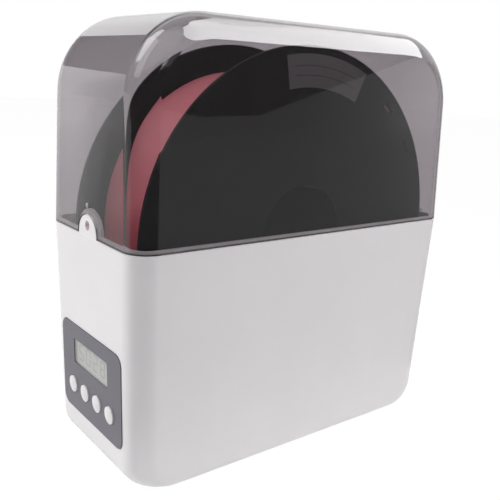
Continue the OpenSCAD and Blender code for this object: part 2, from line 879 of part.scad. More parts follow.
// The drum that the filament is wound on, with ribs that reach in to the bore's tube
module spool_core() {
    half = spool_width / 2 - flange_thickness;
    color("black") on_spool() difference() {
        union() {
            difference() {
                bar_y(core_diameter / 2, -half, half);
                bar_y(core_diameter / 2 - 2, -half - 1, half + 1);
            }
            for (turn = [0:60:300]) rotate([0, turn, 0])
                translate([spool_bore / 2, 0.2 - half, -0.8])
                    cube([core_diameter / 2 - spool_bore / 2 - 1, 2 * half - 0.4, 1.6]);
        }
        bar_y(spool_bore / 2 + bore_wall, -half - 1, half + 1);
    }
}

module spool_bore_tube() {
    half = spool_width / 2 - flange_thickness;
    color("black") on_spool() difference() {
        bar_y(spool_bore / 2 + bore_wall, -half, half);
        bar_y(spool_bore / 2, -half - 1, half + 1);
    }
}

module filament() {
    half = spool_width / 2 - flange_thickness;
    color("indianred") on_spool() difference() {
        bar_y(wound_radius, -half, half);
        bar_y(core_diameter / 2, -half - 1, half + 1);
    }
}

housing();
base_plate();
rubber_feet();
base_screws();
chamber_liner();
liner_screws();
hinge_pin();
control_bezel();
lcd_window();
lcd_panel();
lcd_backlight();
display_board();
display_screws();
tact_switches();
button(0);  // button_1
button(1);  // button_2
button(2);  // button_3
button(3);  // button_4
switch_plunger(0);  // switch_plunger_1
switch_plunger(1);  // switch_plunger_2
switch_plunger(2);  // switch_plunger_3
switch_plunger(3);  // switch_plunger_4
heat_plate();
heat_plate_screws();
heater_film();
thermal_cutout();
plate_thermistor();
humidity_sensor();
load_cell();
load_cell_screws();
roller_carriage();
axle_bushes();
roller_axle(-1);  // left_roller_axle
roller_wheels(-1);  // left_roller_wheels
roller_tyres(-1);  // left_roller_tyres
roller_clips(-1);  // left_roller_clips
roller_axle(1);  // right_roller_axle
roller_wheels(1);  // right_roller_wheels
roller_tyres(1);  // right_roller_tyres
roller_clips(1);  // right_roller_clips
power_board();
power_components();
power_screws();
wiring();
dc_inlet();
dc_inlet_pin();
dc_inlet_nut();
lid();
spool_flange(-1);  // spool_front_flange
spool_flange(1);  // spool_back_flange
spool_core();
spool_bore_tube();
filament();
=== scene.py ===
import bpy, bmesh, math
from mathutils import Matrix, Vector


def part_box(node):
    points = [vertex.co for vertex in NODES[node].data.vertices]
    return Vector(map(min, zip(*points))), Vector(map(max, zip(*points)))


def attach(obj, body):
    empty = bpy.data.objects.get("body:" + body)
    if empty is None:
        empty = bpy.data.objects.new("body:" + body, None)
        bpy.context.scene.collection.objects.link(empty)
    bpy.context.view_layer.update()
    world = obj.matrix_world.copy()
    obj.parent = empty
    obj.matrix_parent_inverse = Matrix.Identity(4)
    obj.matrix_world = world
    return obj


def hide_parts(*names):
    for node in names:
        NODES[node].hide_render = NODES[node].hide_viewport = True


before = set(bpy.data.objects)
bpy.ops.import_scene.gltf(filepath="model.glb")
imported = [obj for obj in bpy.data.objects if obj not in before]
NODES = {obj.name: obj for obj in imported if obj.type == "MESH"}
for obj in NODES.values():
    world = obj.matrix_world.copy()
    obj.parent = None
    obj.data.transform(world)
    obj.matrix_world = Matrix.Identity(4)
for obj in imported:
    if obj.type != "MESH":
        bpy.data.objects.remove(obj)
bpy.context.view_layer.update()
MM = 0.001

# ---------------------------------------------------------------- sizes, in millimetres as in part.scad
# Case and lid; the hinge at the lid's far end; the bump over the tab; the spool; the panel; smooth shading in degrees.
LENGTH, WIDTH, RIM, HEIGHT = 220.0, 100.0, 127.0, 237.0
END_SLOPE, SIDE_SLOPE = math.tan(math.radians(1.2)), math.tan(math.radians(1.7))
EDGE_R, LID_R, LID_GAP, LID_WALL = 12.5, 41.0, 0.4, 2.2
TAB_R, TAB_RISE = 10.0, 1.0
TAB_GAP = 0.8
HINGE_X, KNUCKLE_R, PIN_R, PIN_LENGTH, KNUCKLE_GAP = 113.6, 3.2, 1.5, 56.0, 0.4
KNUCKLE_FOOT, KNUCKLE_TOP, HINGE_OFFSET, BORE_GAP = 3.17, 8.5, 4.4, 0.05
KNUCKLE_ENDS = 0.643, 0.2
CUT_PAST = 2
BUMP_R, BUMP_Z, BUMP_HIGH, BUMP_ROOT = 1.3, 142.9, 0.55, 0.3
SPOOL_X, SPOOL_Z, SPOOL_R, SPOOL_W, FLANGE, CORE_R, WOUND_R = 2.5, 124.5, 102.0, 70.0, 3.0, 55.0, 86.5
RIDGE, LINE_W = 0.45, 0.5
PANEL_DROP, LCD_RISE = 78.75, 10.15
SHARP_ANGLE = 32

# The case's middle, which the row frame sets off from its own origin.
lo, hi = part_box("base_plate")
SHIFT = (lo.x + hi.x) / 2 / MM


def half_length(z):
    """Half the case's or the lid's length at a height; both taper away from the rim."""
    return LENGTH / 2 - END_SLOPE * abs(z - RIM)


# ---------------------------------------------------------------- mesh helpers
def new_object(name, data):
    ob = bpy.data.objects.new(name, data)
    bpy.context.scene.collection.objects.link(ob)
    return ob


def from_points(name, points, faces, smooth=True):
    """points in millimetres in the case's own frame, moved by SHIFT into the row frame."""
    mesh = bpy.data.meshes.new(name)
    mesh.from_pydata([((x + SHIFT) * MM, y * MM, z * MM) for x, y, z in points], [], faces)
    mesh.validate()
    for p in mesh.polygons:
        p.use_smooth = smooth
    return new_object(name, mesh)


def bm_edit(ob, edit):
    bm = bmesh.new()
    bm.from_mesh(ob.data)
    edit(bm)
    bm.to_mesh(ob.data)
    bm.free()


def consistent(bm):
    bmesh.ops.remove_doubles(bm, verts=bm.verts, dist=1e-6)
    bmesh.ops.recalc_face_normals(bm, faces=bm.faces)


def sharp_by_angle(ob, degrees=SHARP_ANGLE):
    def edit(bm):
        for e in bm.edges:
            e.smooth = len(e.link_faces) == 2 and e.calc_face_angle(0) < math.radians(degrees)
        for f in bm.faces:
            f.smooth = True
    bm_edit(ob, edit)


def flat_faces_first(ob):
    m = ob.modifiers.new("normals", "WEIGHTED_NORMAL")
    m.keep_sharp = True
    m.weight = 80


def combine(ob, other, operation):
    """Applies one exact boolean and removes the tool."""
    m = ob.modifiers.new("cut", "BOOLEAN")
    m.operation, m.solver, m.object = operation, "EXACT", other
    made = bpy.data.meshes.new_from_object(ob.evaluated_get(bpy.context.evaluated_depsgraph_get()))
    ob.modifiers.clear()
    old, ob.data = ob.data, made
    bpy.data.meshes.remove(old)
    bpy.data.objects.remove(other)


def on_panel(depth, across, up):
    """A point of the tilted end face: depth into the case, across towards the front, up from the panel's middle."""
    d, z = math.atan(END_SLOPE), up - PANEL_DROP
    return (-LENGTH / 2 + depth * math.cos(d) - z * math.sin(d), -across, RIM + depth * math.sin(d) + z * math.cos(d))


def prism(name, outline, axis, start, end):
    """A closed prism over outline, in millimetres. axis 0 puts outline in (y, z) and 1 in (x, z)."""
    def place(p, d):
        return (d, p[0], p[1]) if axis == 0 else (p[0], d, p[1])
    n = len(outline)
    points = [place(p, start) for p in outline] + [place(p, end) for p in outline]
    faces = [tuple(range(n)), tuple(range(2 * n - 1, n - 1, -1))]
    faces += [(i, (i + 1) % n, n + (i + 1) % n, n + i) for i in range(n)]
    ob = from_points(name, points, faces)
    bm_edit(ob, consistent)
    return ob


def arc(cx, cz, r, start, end, steps):
    """Points along an arc, from start to end in degrees."""
    return [(cx + r * math.cos(math.radians(start + (end - start) * i / steps)),
             cz + r * math.sin(math.radians(start + (end - start) * i / steps))) for i in range(steps + 1)]


# ---------------------------------------------------------------- the clear lid, finely built on the CAD's own formulas
def lid_skin(offset, z0):
    """One skin of the lid as (points, faces, the loop of points at its open edge)."""
    steps, corner_steps, straight_steps = 14, 24, 4
    r = EDGE_R - offset
    zc = HEIGHT - LID_R
    xc = half_length(zc) - LID_R
    points, rows = [], []
    for side in (-1, 1):
        for i in range(steps + 1):
            a = math.radians(90 * (steps - i if side < 0 else i) / steps)
            y = WIDTH / 2 - offset - r * (1 - math.sin(a))
            inset = r * (1 - math.cos(a))
            foot = LENGTH / 2 - offset - inset - END_SLOPE * (z0 - RIM)
            top_x = xc + LID_R - offset - inset
            half = [(foot + (top_x - foot) * k / straight_steps, z0 + (zc - z0) * k / straight_steps)
                    for k in range(straight_steps)]
            half += arc(xc, zc, LID_R - offset - inset, 0, 90, corner_steps)
            half += [(xc * (1 - k / straight_steps), HEIGHT - offset - inset) for k in range(1, straight_steps + 1)]
            line = half + [(-x, z) for x, z in reversed(half[:-1])]
            rows.append([len(points) + k for k in range(len(line))])
            points += [(x, side * (y - SIDE_SLOPE * (z - RIM)), z) for x, z in line]
    faces = [(a[k], a[k + 1], b[k + 1], b[k]) for a, b in zip(rows, rows[1:]) for k in range(len(a) - 1)]
    faces += [tuple(rows[0]), tuple(reversed(rows[-1]))]
    rim = [r[0] for r in rows] + [r[-1] for r in reversed(rows)]
    return points, faces, rim


def build_lid():
    z0 = RIM + LID_GAP
    outer, outer_faces, rim = lid_skin(0, z0)
    inner, inner_faces, _ = lid_skin(LID_WALL, z0)
    n = len(outer)
    faces = outer_faces + [tuple(n + i for i in reversed(f)) for f in inner_faces]
    faces += [(rim[i], rim[(i + 1) % len(rim)], n + rim[(i + 1) % len(rim)], n + rim[i]) for i in range(len(rim))]
    lid = from_points("lid_shell", outer + inner, faces)
    bm_edit(lid, consistent)
    wall = HINGE_X - HINGE_OFFSET
    knuckle = [(wall, z0), (HINGE_X - KNUCKLE_FOOT, z0)] + arc(HINGE_X, RIM, KNUCKLE_R, 173, 360, 22)[1:]
    knuckle += arc(HINGE_X, RIM, KNUCKLE_R, 0, 45, 8)[1:] + [(HINGE_X, RIM + KNUCKLE_R), (wall, RIM + KNUCKLE_TOP)]
    far, near = (-PIN_LENGTH / 2 * share for share in KNUCKLE_ENDS)
    for y0, y1 in ((far + KNUCKLE_GAP, near - KNUCKLE_GAP), (-near + KNUCKLE_GAP, -far - KNUCKLE_GAP)):
        combine(lid, prism("knuckle", knuckle, 1, y0, y1), "UNION")
    notch_r = TAB_R + TAB_GAP
    tab = arc(0, RIM + TAB_RISE, notch_r, 0, 180, 48) + [(-notch_r, RIM - CUT_PAST), (notch_r, RIM - CUT_PAST)]
    combine(lid, prism("tab", tab, 0, -LENGTH / 2 - CUT_PAST, -LENGTH / 2 + LID_WALL + CUT_PAST), "DIFFERENCE")
    bore = arc(HINGE_X, RIM, PIN_R + BORE_GAP, 0, 360, 40)[:-1]
    combine(lid, prism("bore", bore, 1, -PIN_LENGTH / 2 - 1, PIN_LENGTH / 2 + 1), "DIFFERENCE")
    sharp_by_angle(lid)
    flat_faces_first(lid)
    return lid


# ---------------------------------------------------------------- material helpers
def nodes_of(name):
    """A new empty material and its node tree."""
    m = bpy.data.materials.new(name)
    m.use_nodes = True
    nt = m.node_tree
    nt.nodes.clear()
    return m, nt


def add(nt, kind, **values):
    n = nt.nodes.new("ShaderNode" + kind)
    for k, v in values.items():
        setattr(n, k, v)
    return n


def scaled_noise(nt, scale, detail=3.0, stretch=(1, 1, 1)):
    where = add(nt, "TexCoord")
    mapping = add(nt, "Mapping")
    mapping.inputs["Scale"].default_value = stretch
    noise = add(nt, "TexNoise")
    noise.inputs["Scale"].default_value = scale
    noise.inputs["Detail"].default_value = detail
    nt.links.new(where.outputs["Object"], mapping.inputs["Vector"])
    nt.links.new(mapping.outputs["Vector"], noise.inputs["Vector"])
    return noise.outputs["Fac"]


def spread(nt, source, low, high):
    """source's middle range mapped to low..high."""
    m = add(nt, "MapRange")
    m.inputs["From Min"].default_value, m.inputs["From Max"].default_value = 0.3, 0.7
    m.inputs["To Min"].default_value, m.inputs["To Max"].default_value = low, high
    nt.links.new(source, m.inputs["Value"])
    return m.outputs["Result"]


def between(nt, source, a, b):
    """A colour that source moves from a to b."""
    m = add(nt, "Mix", data_type="RGBA")
    m.inputs["A"].default_value = (*a, 1)
    m.inputs["B"].default_value = (*b, 1)
    nt.links.new(spread(nt, source, 0, 1), m.inputs["Factor"])
    return m.outputs["Result"]


def bumped(nt, source, strength, distance):
    b = add(nt, "Bump")
    b.inputs["Strength"].default_value, b.inputs["Distance"].default_value = strength, distance
    nt.links.new(source, b.inputs["Height"])
    return b.outputs["Normal"]


def finish_with(nt, shader):
    out = add(nt, "OutputMaterial")
    nt.links.new(shader, out.inputs["Surface"])


def moulded(name, colour, rough, vary=0.04, grain=1800, grain_depth=0.00003, blotch=35, metallic=0.0, specular=0.5,
            coat=0.0, stretch=(1, 1, 1)):
    """Plastic, rubber or metal with faint blotches of colour, uneven gloss and a fine grain."""
    m, nt = nodes_of(name)
    s = add(nt, "BsdfPrincipled")
    s.inputs["Metallic"].default_value = metallic
    s.inputs["Specular IOR Level"].default_value = specular
    s.inputs["Coat Weight"].default_value = coat
    big, fine = scaled_noise(nt, blotch, 4), scaled_noise(nt, grain, 2, stretch)
    dark = tuple(c * (1 - vary) for c in colour)
    light = tuple(min(1, c * (1 + vary)) for c in colour)
    nt.links.new(between(nt, big, dark, light), s.inputs["Base Color"])
    nt.links.new(spread(nt, fine, max(0.02, rough - 0.05), rough + 0.05), s.inputs["Roughness"])
    nt.links.new(bumped(nt, fine, 0.5, grain_depth), s.inputs["Normal"])
    finish_with(nt, s.outputs["BSDF"])
    return m


def clear_plastic(name, tint, through, ior=1.46, wave=0.0, density=0.0, rim_shade_height=None):
    """Tinted clear plastic. Rays from lamps and between matt surfaces pass it straight, so that what is inside is lit.
    A density over 0 darkens it with depth, so that edges seen along the wall come out dark. The last argument is the
    height in metres of the lid's lower edge; below it the colour is painted shade, a nearly black band for the shadow
    in the gap over the case."""
    m, nt = nodes_of(name)
    s = add(nt, "BsdfPrincipled")
    s.inputs["Transmission Weight"].default_value = 1.0
    s.inputs["IOR"].default_value = ior
    big = scaled_noise(nt, 22, 2)
    colour = between(nt, big, tuple(c * 0.985 for c in tint), tuple(min(1, c * 1.015) for c in tint))
    # Painted shade: under the given height the lid's colour fades to a nearly black grey, standing in for the shadow in
    # the gap between the lid and the case's rim.
    if rim_shade_height:
        place, rise, painted_rim_shade = add(nt, "SeparateXYZ"), add(nt, "MapRange"), add(nt, "Mix", data_type="RGBA")
        nt.links.new(add(nt, "TexCoord").outputs["Object"], place.inputs[0])
        nt.links.new(place.outputs["Z"], rise.inputs["Value"])
        rise.inputs["From Min"].default_value, rise.inputs["From Max"].default_value = rim_shade_height + 0.0004, rim_shade_height + 0.0007
        # The colour of the painted shade at the lid's lower edge.
        painted_rim_shade.inputs["A"].default_value = (0.16, 0.15, 0.16, 1)
        nt.links.new(rise.outputs["Result"], painted_rim_shade.inputs["Factor"])
        nt.links.new(colour, painted_rim_shade.inputs["B"])
        colour = painted_rim_shade.outputs["Result"]
    nt.links.new(colour, s.inputs["Base Color"])
    nt.links.new(spread(nt, scaled_noise(nt, 260, 2), 0.0, 0.025), s.inputs["Roughness"])
    if wave:
        nt.links.new(bumped(nt, big, 0.6, wave), s.inputs["Normal"])
    path = add(nt, "LightPath")
    open_way = add(nt, "BsdfTransparent")
    open_way.inputs["Color"].default_value = (*through, 1)
    for_matt, for_lamps = add(nt, "MixShader"), add(nt, "MixShader")
    nt.links.new(path.outputs["Is Diffuse Ray"], for_matt.inputs[0])
    nt.links.new(s.outputs["BSDF"], for_matt.inputs[1])
    nt.links.new(open_way.outputs["BSDF"], for_matt.inputs[2])
    nt.links.new(path.outputs["Is Shadow Ray"], for_lamps.inputs[0])
    nt.links.new(for_matt.outputs["Shader"], for_lamps.inputs[1])
    nt.links.new(open_way.outputs["BSDF"], for_lamps.inputs[2])
    finish_with(nt, for_lamps.outputs["Shader"])
    if density:
        depth = add(nt, "VolumeAbsorption")
        depth.inputs["Color"].default_value = (0.06, 0.0, 0.04, 1)
        depth.inputs["Density"].default_value = density
        nt.links.new(depth.outputs["Volume"], nt.nodes["Material Output"].inputs["Volume"])
    return m


# ---------------------------------------------------------------- materials
MATS = {
    "white_shell": moulded("moulded_white", (0.80, 0.775, 0.785), 0.36, 0.012, coat=0.15),
    "base_plastic": moulded("moulded_pale_grey", (0.55, 0.55, 0.56), 0.5, 0.03),
    "liner_plastic": moulded("moulded_white_inner", (0.78, 0.78, 0.78), 0.45, 0.015),
    # The smoke lid's shader paints a nearly black band along its lower edge: painted shade for the shadow in the gap
    # over the case's rim.
    "smoke_clear": clear_plastic("smoke_clear", (0.69, 0.667, 0.683), (1.0, 1.0, 1.0), ior=1.38, wave=0.000015,
                                 density=131, rim_shade_height=(RIM + LID_GAP) * MM),
    "rubber": moulded("black_rubber", (0.03, 0.03, 0.03), 0.75, 0.1, grain=2500),
    "steel": moulded("zinc_steel", (0.62, 0.62, 0.63), 0.3, 0.04, metallic=1.0),
    "spring_steel": moulded("blackened_steel", (0.09, 0.09, 0.1), 0.35, 0.08, metallic=1.0),
    "bezel_grey": moulded("bezel_grey", (0.118, 0.112, 0.135), 0.42, 0.03),
    "window_clear": clear_plastic("window_clear", (0.9, 0.91, 0.9), (0.96, 0.96, 0.96)),
    "lcd_glass": moulded("lcd_grey_green", (0.42, 0.42, 0.395), 0.35, 0.03, grain=3000),
    "backlight": moulded("light_guide_white", (0.83, 0.83, 0.8), 0.4, 0.02),
    "circuit_board": moulded("board_green", (0.03, 0.17, 0.07), 0.35, 0.15, blotch=400),
    "black_plastic": moulded("moulded_black_fine", (0.025, 0.025, 0.026), 0.45, 0.1),
    "contact_brass": moulded("contact_brass", (0.72, 0.55, 0.25), 0.25, 0.05, metallic=1.0),
    "heater_aluminium": moulded("brushed_aluminium", (0.72, 0.73, 0.74), 0.32, 0.04, metallic=1.0,
                                stretch=(0.03, 1, 1)),
    "heater_film": moulded("polyimide_film", (0.55, 0.23, 0.05), 0.25, 0.12, blotch=300),
    "sensor_bead": moulded("epoxy_bead", (0.5, 0.13, 0.03), 0.2, 0.1),
    "carriage_plastic": moulded("moulded_dark_grey", (0.16, 0.16, 0.17), 0.5, 0.05),
    "bush_plastic": moulded("acetal_cream", (0.75, 0.73, 0.68), 0.35, 0.02),
    "spool_black": moulded("moulded_black", (0.005, 0.005, 0.0052), 0.45, 0.12, blotch=60, grain=900,
                           grain_depth=0.000004, specular=0.1),
    "filament_rose": moulded("filament_rose", (0.86, 0.18, 0.225), 0.3, 0.05, blotch=14, grain=4000,
                             grain_depth=0.000004, specular=1.0, coat=1.0),
    "wire_red": moulded("wire_red", (0.38, 0.03, 0.03), 0.4, 0.08, blotch=200),
}


# ---------------------------------------------------------------- CAD nodes: smooth over facets, keep true edges
def soften(ob):
    """Merges the facets' doubled points, shades curves smooth and keeps edges over SHARP_ANGLE sharp."""
    ob.modifiers.new("weld", "WELD").merge_threshold = 2e-6
    ob.modifiers.new("sharp", "NODES").node_group = bpy.data.node_groups.get("sharp_edges") or sharp_group()
    flat_faces_first(ob)


def sharp_group():
    """Geometry nodes that shade all faces smooth but for the edges over SHARP_ANGLE."""
    g = bpy.data.node_groups.new("sharp_edges", "GeometryNodeTree")
    g.interface.new_socket("Geometry", in_out="INPUT", socket_type="NodeSocketGeometry")
    g.interface.new_socket("Geometry", in_out="OUTPUT", socket_type="NodeSocketGeometry")
    start, end = g.nodes.new("NodeGroupInput"), g.nodes.new("NodeGroupOutput")
    smooth, sharp = g.nodes.new("GeometryNodeSetShadeSmooth"), g.nodes.new("GeometryNodeSetShadeSmooth")
    sharp.domain = "EDGE"
    sharp.inputs["Shade Smooth"].default_value = False
    angle, over = g.nodes.new("GeometryNodeInputMeshEdgeAngle"), g.nodes.new("FunctionNodeCompare")
    over.operation = "GREATER_THAN"
    over.inputs["B"].default_value = math.radians(SHARP_ANGLE)
    g.links.new(start.outputs[0], smooth.inputs["Geometry"])
    g.links.new(smooth.outputs["Geometry"], sharp.inputs["Geometry"])
    g.links.new(angle.outputs["Unsigned Angle"], over.inputs["A"])
    g.links.new(over.outputs["Result"], sharp.inputs["Selection"])
    g.links.new(sharp.outputs["Geometry"], end.inputs[0])
    return g


for name, ob in NODES.items():
    slot = ob.material_slots[0].name
    ob.data.materials.clear()
    ob.data.materials.append(MATS[slot])
for name in ("housing", "chamber_liner"):
    soften(NODES[name])

# ---------------------------------------------------------------- pieces that stand for a coarser CAD node
lid = build_lid()
lid.data.materials.append(MATS["smoke_clear"])
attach(lid, "lid")
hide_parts("lid")


def build_bump():
    """The frosted bump above the case's tab, a flattened dome with its root in the lid's wall."""
    rings, around = 7, 32
    wall = -half_length(BUMP_Z)
    points, faces = [], []
    for i in range(rings):
        a = math.radians(90 * i / rings)
        for k in range(around):
            turn = 2 * math.pi * k / around
            points.append((wall - BUMP_HIGH * math.sin(a), BUMP_R * math.cos(a) * math.cos(turn),
                           BUMP_Z + BUMP_R * math.cos(a) * math.sin(turn)))
    points += [(wall - BUMP_HIGH, 0, BUMP_Z), (wall + BUMP_ROOT, 0, BUMP_Z)]
    tip, foot = rings * around, rings * around + 1
    for i in range(rings):
        for k in range(around):
            a, b = i * around + k, i * around + (k + 1) % around
            faces.append((a, b, b + around, a + around) if i < rings - 1 else (a, b, tip))
    faces += [(foot, (k + 1) % around, k) for k in range(around)]
    ob = from_points("lid_bump", points, faces)
    bm_edit(ob, consistent)
    ob.data.materials.append(moulded("frosted_smoke", (0.42, 0.40, 0.415), 0.3, 0.03, grain_depth=0.000003))
    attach(ob, "lid")


build_bump()


def build_winding():
    """The wound filament as its outer turns, each a ridge, between the flanges."""
    half = SPOOL_W / 2 - FLANGE
    turns, across, around = 37, 8, 240
    pitch = 2 * half / turns
    profile = []
    for t in range(turns):
        for k in range(across):
            y = -half + (t + k / across) * pitch
            profile.append((y, WOUND_R - RIDGE / 2 - RIDGE / 2 * math.cos(2 * math.pi * k / across)))
    profile.append((half, WOUND_R - RIDGE))
    rings = [(-half, CORE_R)] + profile + [(half, CORE_R)]
    n = len(rings)
    points, faces = [], []
    for j in range(around):
        a = 2 * math.pi * j / around
        points += [(SPOOL_X + r * math.cos(a), y, SPOOL_Z + r * math.sin(a)) for y, r in rings]
    for j in range(around):
        b = (j + 1) % around
        faces += [(j * n + k, b * n + k, b * n + (k + 1) % n, j * n + (k + 1) % n) for k in range(n)]
    ob = from_points("filament_winding", points, faces)
    bm_edit(ob, consistent)
    sharp_by_angle(ob, 70)
    return ob


winding = build_winding()
winding.data.materials.append(MATS["filament_rose"])
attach(winding, "spool")
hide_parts("filament")


def sector(name, r0, r1, a0, a1, y0, y1, steps=36):
    """A flat piece of a ring round the spool's axis, angles in degrees from +X up, between two depths in y."""
    points, faces = [], []
    for i in range(steps + 1):
        a = math.radians(a0 + (a1 - a0) * i / steps)
        points += [(SPOOL_X + r * math.cos(a), y, SPOOL_Z + r * math.sin(a)) for r, y in
                   ((r0, y0), (r1, y0), (r1, y1), (r0, y1))]
    for i in range(steps):
        a, b = 4 * i, 4 * i + 4
        faces += [(a + k, a + (k + 1) % 4, b + (k + 1) % 4, b + k) for k in range(4)]
    faces += [(3, 2, 1, 0), tuple(4 * steps + k for k in range(4))]
    ob = from_points(name, points, faces, smooth=False)
    bm_edit(ob, consistent)
    return ob


def build_sticker():
    """A blank write-on sticker near the flange's rim, with two ruled lines."""
    face = -SPOOL_W / 2
    top, ink = face - 0.12, face - 0.15
    paper = sector("spool_sticker", 80.2, 97.6, 65.3, 101, face, top)
    lines, other = (sector("sticker_lines", r, r + LINE_W, 68.5, 98, top, ink) for r in (86.3, 91.3))
    bm = bmesh.new()
    bm.from_mesh(lines.data)
    bm.from_mesh(other.data)
    bm.to_mesh(lines.data)
    bm.free()
    bpy.data.objects.remove(other)
    paper.data.materials.append(moulded("sticker_grey", (0.10, 0.096, 0.098), 0.38, 0.03, grain_depth=0.000003))
    lines.data.materials.append(moulded("sticker_ink", (0.03, 0.03, 0.03), 0.5, 0.05, grain_depth=0.000003))
    for ob in (paper, lines):
        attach(ob, "spool")


build_sticker()


def build_digits():
    """Four seven-segment figures that lie on the LCD's face, behind its window."""
    wide, tall, thick, lean, pitch, back, front = 5.6, 9.6, 1.0, 0.09, 8.6, 1.49, 1.42
    h, w, t = tall / 2, wide / 2, thick / 2
    across = [(-w + t, t), (-w + 2 * t, 2 * t), (w - 2 * t, 2 * t), (w - t, t), (w - 2 * t, 0), (-w + 2 * t, 0)]
    level = [(x, y - t) for x, y in across]
    upright = [(0, 0.15), (t, t + 0.1), (t, h - t - 0.1), (0, h - 0.15), (-t, h - t - 0.1), (-t, t + 0.1)]
    segments = {
        "a": [(x, y + h - t) for x, y in level], "g": level, "d": [(x, y - h + t) for x, y in level],
        "b": [(x + w - t, y) for x, y in upright], "f": [(x - w + t, y) for x, y in upright],
        "c": [(x + w - t, y - h) for x, y in upright], "e": [(x - w + t, y - h) for x, y in upright],
    }
    lit = {"5": "afgcd", "0": "abcdef", "8": "abcdefg", "2": "abged"}
    points, faces = [], []
    for k, figure in enumerate("5028"):
        middle = (k - 1.5) * pitch
        for name in lit[figure]:
            n = len(points)
            for depth in (front, back):
                points += [on_panel(depth, middle + x + lean * y, LCD_RISE + 0.6 + y) for x, y in segments[name]]
            faces += [tuple(range(n, n + 6)), tuple(range(n + 11, n + 5, -1))]
            faces += [(n + i, n + (i + 1) % 6, n + 6 + (i + 1) % 6, n + 6 + i) for i in range(6)]
    ob = from_points("lcd_figures", points, faces, smooth=False)
    bm_edit(ob, consistent)
    ob.data.materials.append(moulded("lcd_segments", (0.27, 0.27, 0.255), 0.35, 0.04, grain_depth=0.000003))
    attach(ob, "case")


build_digits()


# ---------------------------------------------------------------- floor, light and camera
# Metres and degrees: the cards' dome has its middle at the lid's height and meets the floor at HORIZON. Floor cards lie
# CARD_LIFT over the floor and start under the case's front corners or its display end.
DOME_Z, CARD_LIFT = 0.2, 0.002
FRONT_LEFT, FRONT_RIGHT, FRONT = -0.0975, 0.0975, -0.05
END_FEET = (-0.1, -0.1, 0)
HORIZON = -1.26
DARK = 0.02


def seen_rays(nt):
    """1 for rays from the camera, directly, in a reflection or through something clear."""
    path = add(nt, "LightPath")
    seen, any_seen = add(nt, "Math", operation="MAXIMUM"), add(nt, "Math", operation="MAXIMUM")
    nt.links.new(path.outputs["Is Camera Ray"], seen.inputs[0])
    nt.links.new(path.outputs["Is Transmission Ray"], seen.inputs[1])
    nt.links.new(seen.outputs[0], any_seen.inputs[0])
    nt.links.new(path.outputs["Is Glossy Ray"], any_seen.inputs[1])
    return any_seen.outputs[0]


def card(name, stops, away=9.0, feet=None):
    """A studio card that only reflections see, as a strip round the part. Each stop is (azimuth, from, to, glow) or
    (azimuth, from, to, glow at from, glow at to). from and to are degrees up on a dome of radius away round the lid.
    With feet, (first x, last x, y), they are metres out on the floor from a foot that goes from first to last x."""
    points, glows = [], []

    def place(azimuth, reach):
        a, e = math.radians(azimuth), math.radians(reach)
        if feet:
            along = (azimuth - stops[0][0]) / (stops[-1][0] - stops[0][0])
            return (feet[0] + (feet[1] - feet[0]) * along + reach * math.cos(a), feet[2] + reach * math.sin(a),
                    CARD_LIFT)
        return (away * math.cos(e) * math.cos(a), away * math.cos(e) * math.sin(a), DOME_Z + away * math.sin(e))

    stops = [(*stop, stop[-1])[:5] for stop in stops]
    for a, b in zip(stops, stops[1:]):
        steps = max(1, math.ceil(abs(b[0] - a[0]) / 3))
        for k in range(steps + (b is stops[-1])):
            azimuth, start, end, glow, end_glow = (u + (v - u) * k / steps for u, v in zip(a, b))
            points += [place(azimuth, start), place(azimuth, end)]
            glows += [glow, end_glow]
    mesh = bpy.data.meshes.new(name)
    mesh.from_pydata(points, [], [(i, i + 1, i + 3, i + 2) for i in range(0, len(points) - 2, 2)])
    mesh.attributes.new("glow", "FLOAT", "POINT").data.foreach_set("value", glows)
    ob = new_object(name, mesh)
    m, nt = nodes_of(name)
    shine, given = add(nt, "Emission"), add(nt, "Attribute", attribute_name="glow")
    nt.links.new(given.outputs["Fac"], shine.inputs["Strength"])
    finish_with(nt, shine.outputs[0])
    mesh.materials.append(m)
    ob.visible_camera = ob.visible_diffuse = ob.visible_transmission = ob.visible_shadow = False


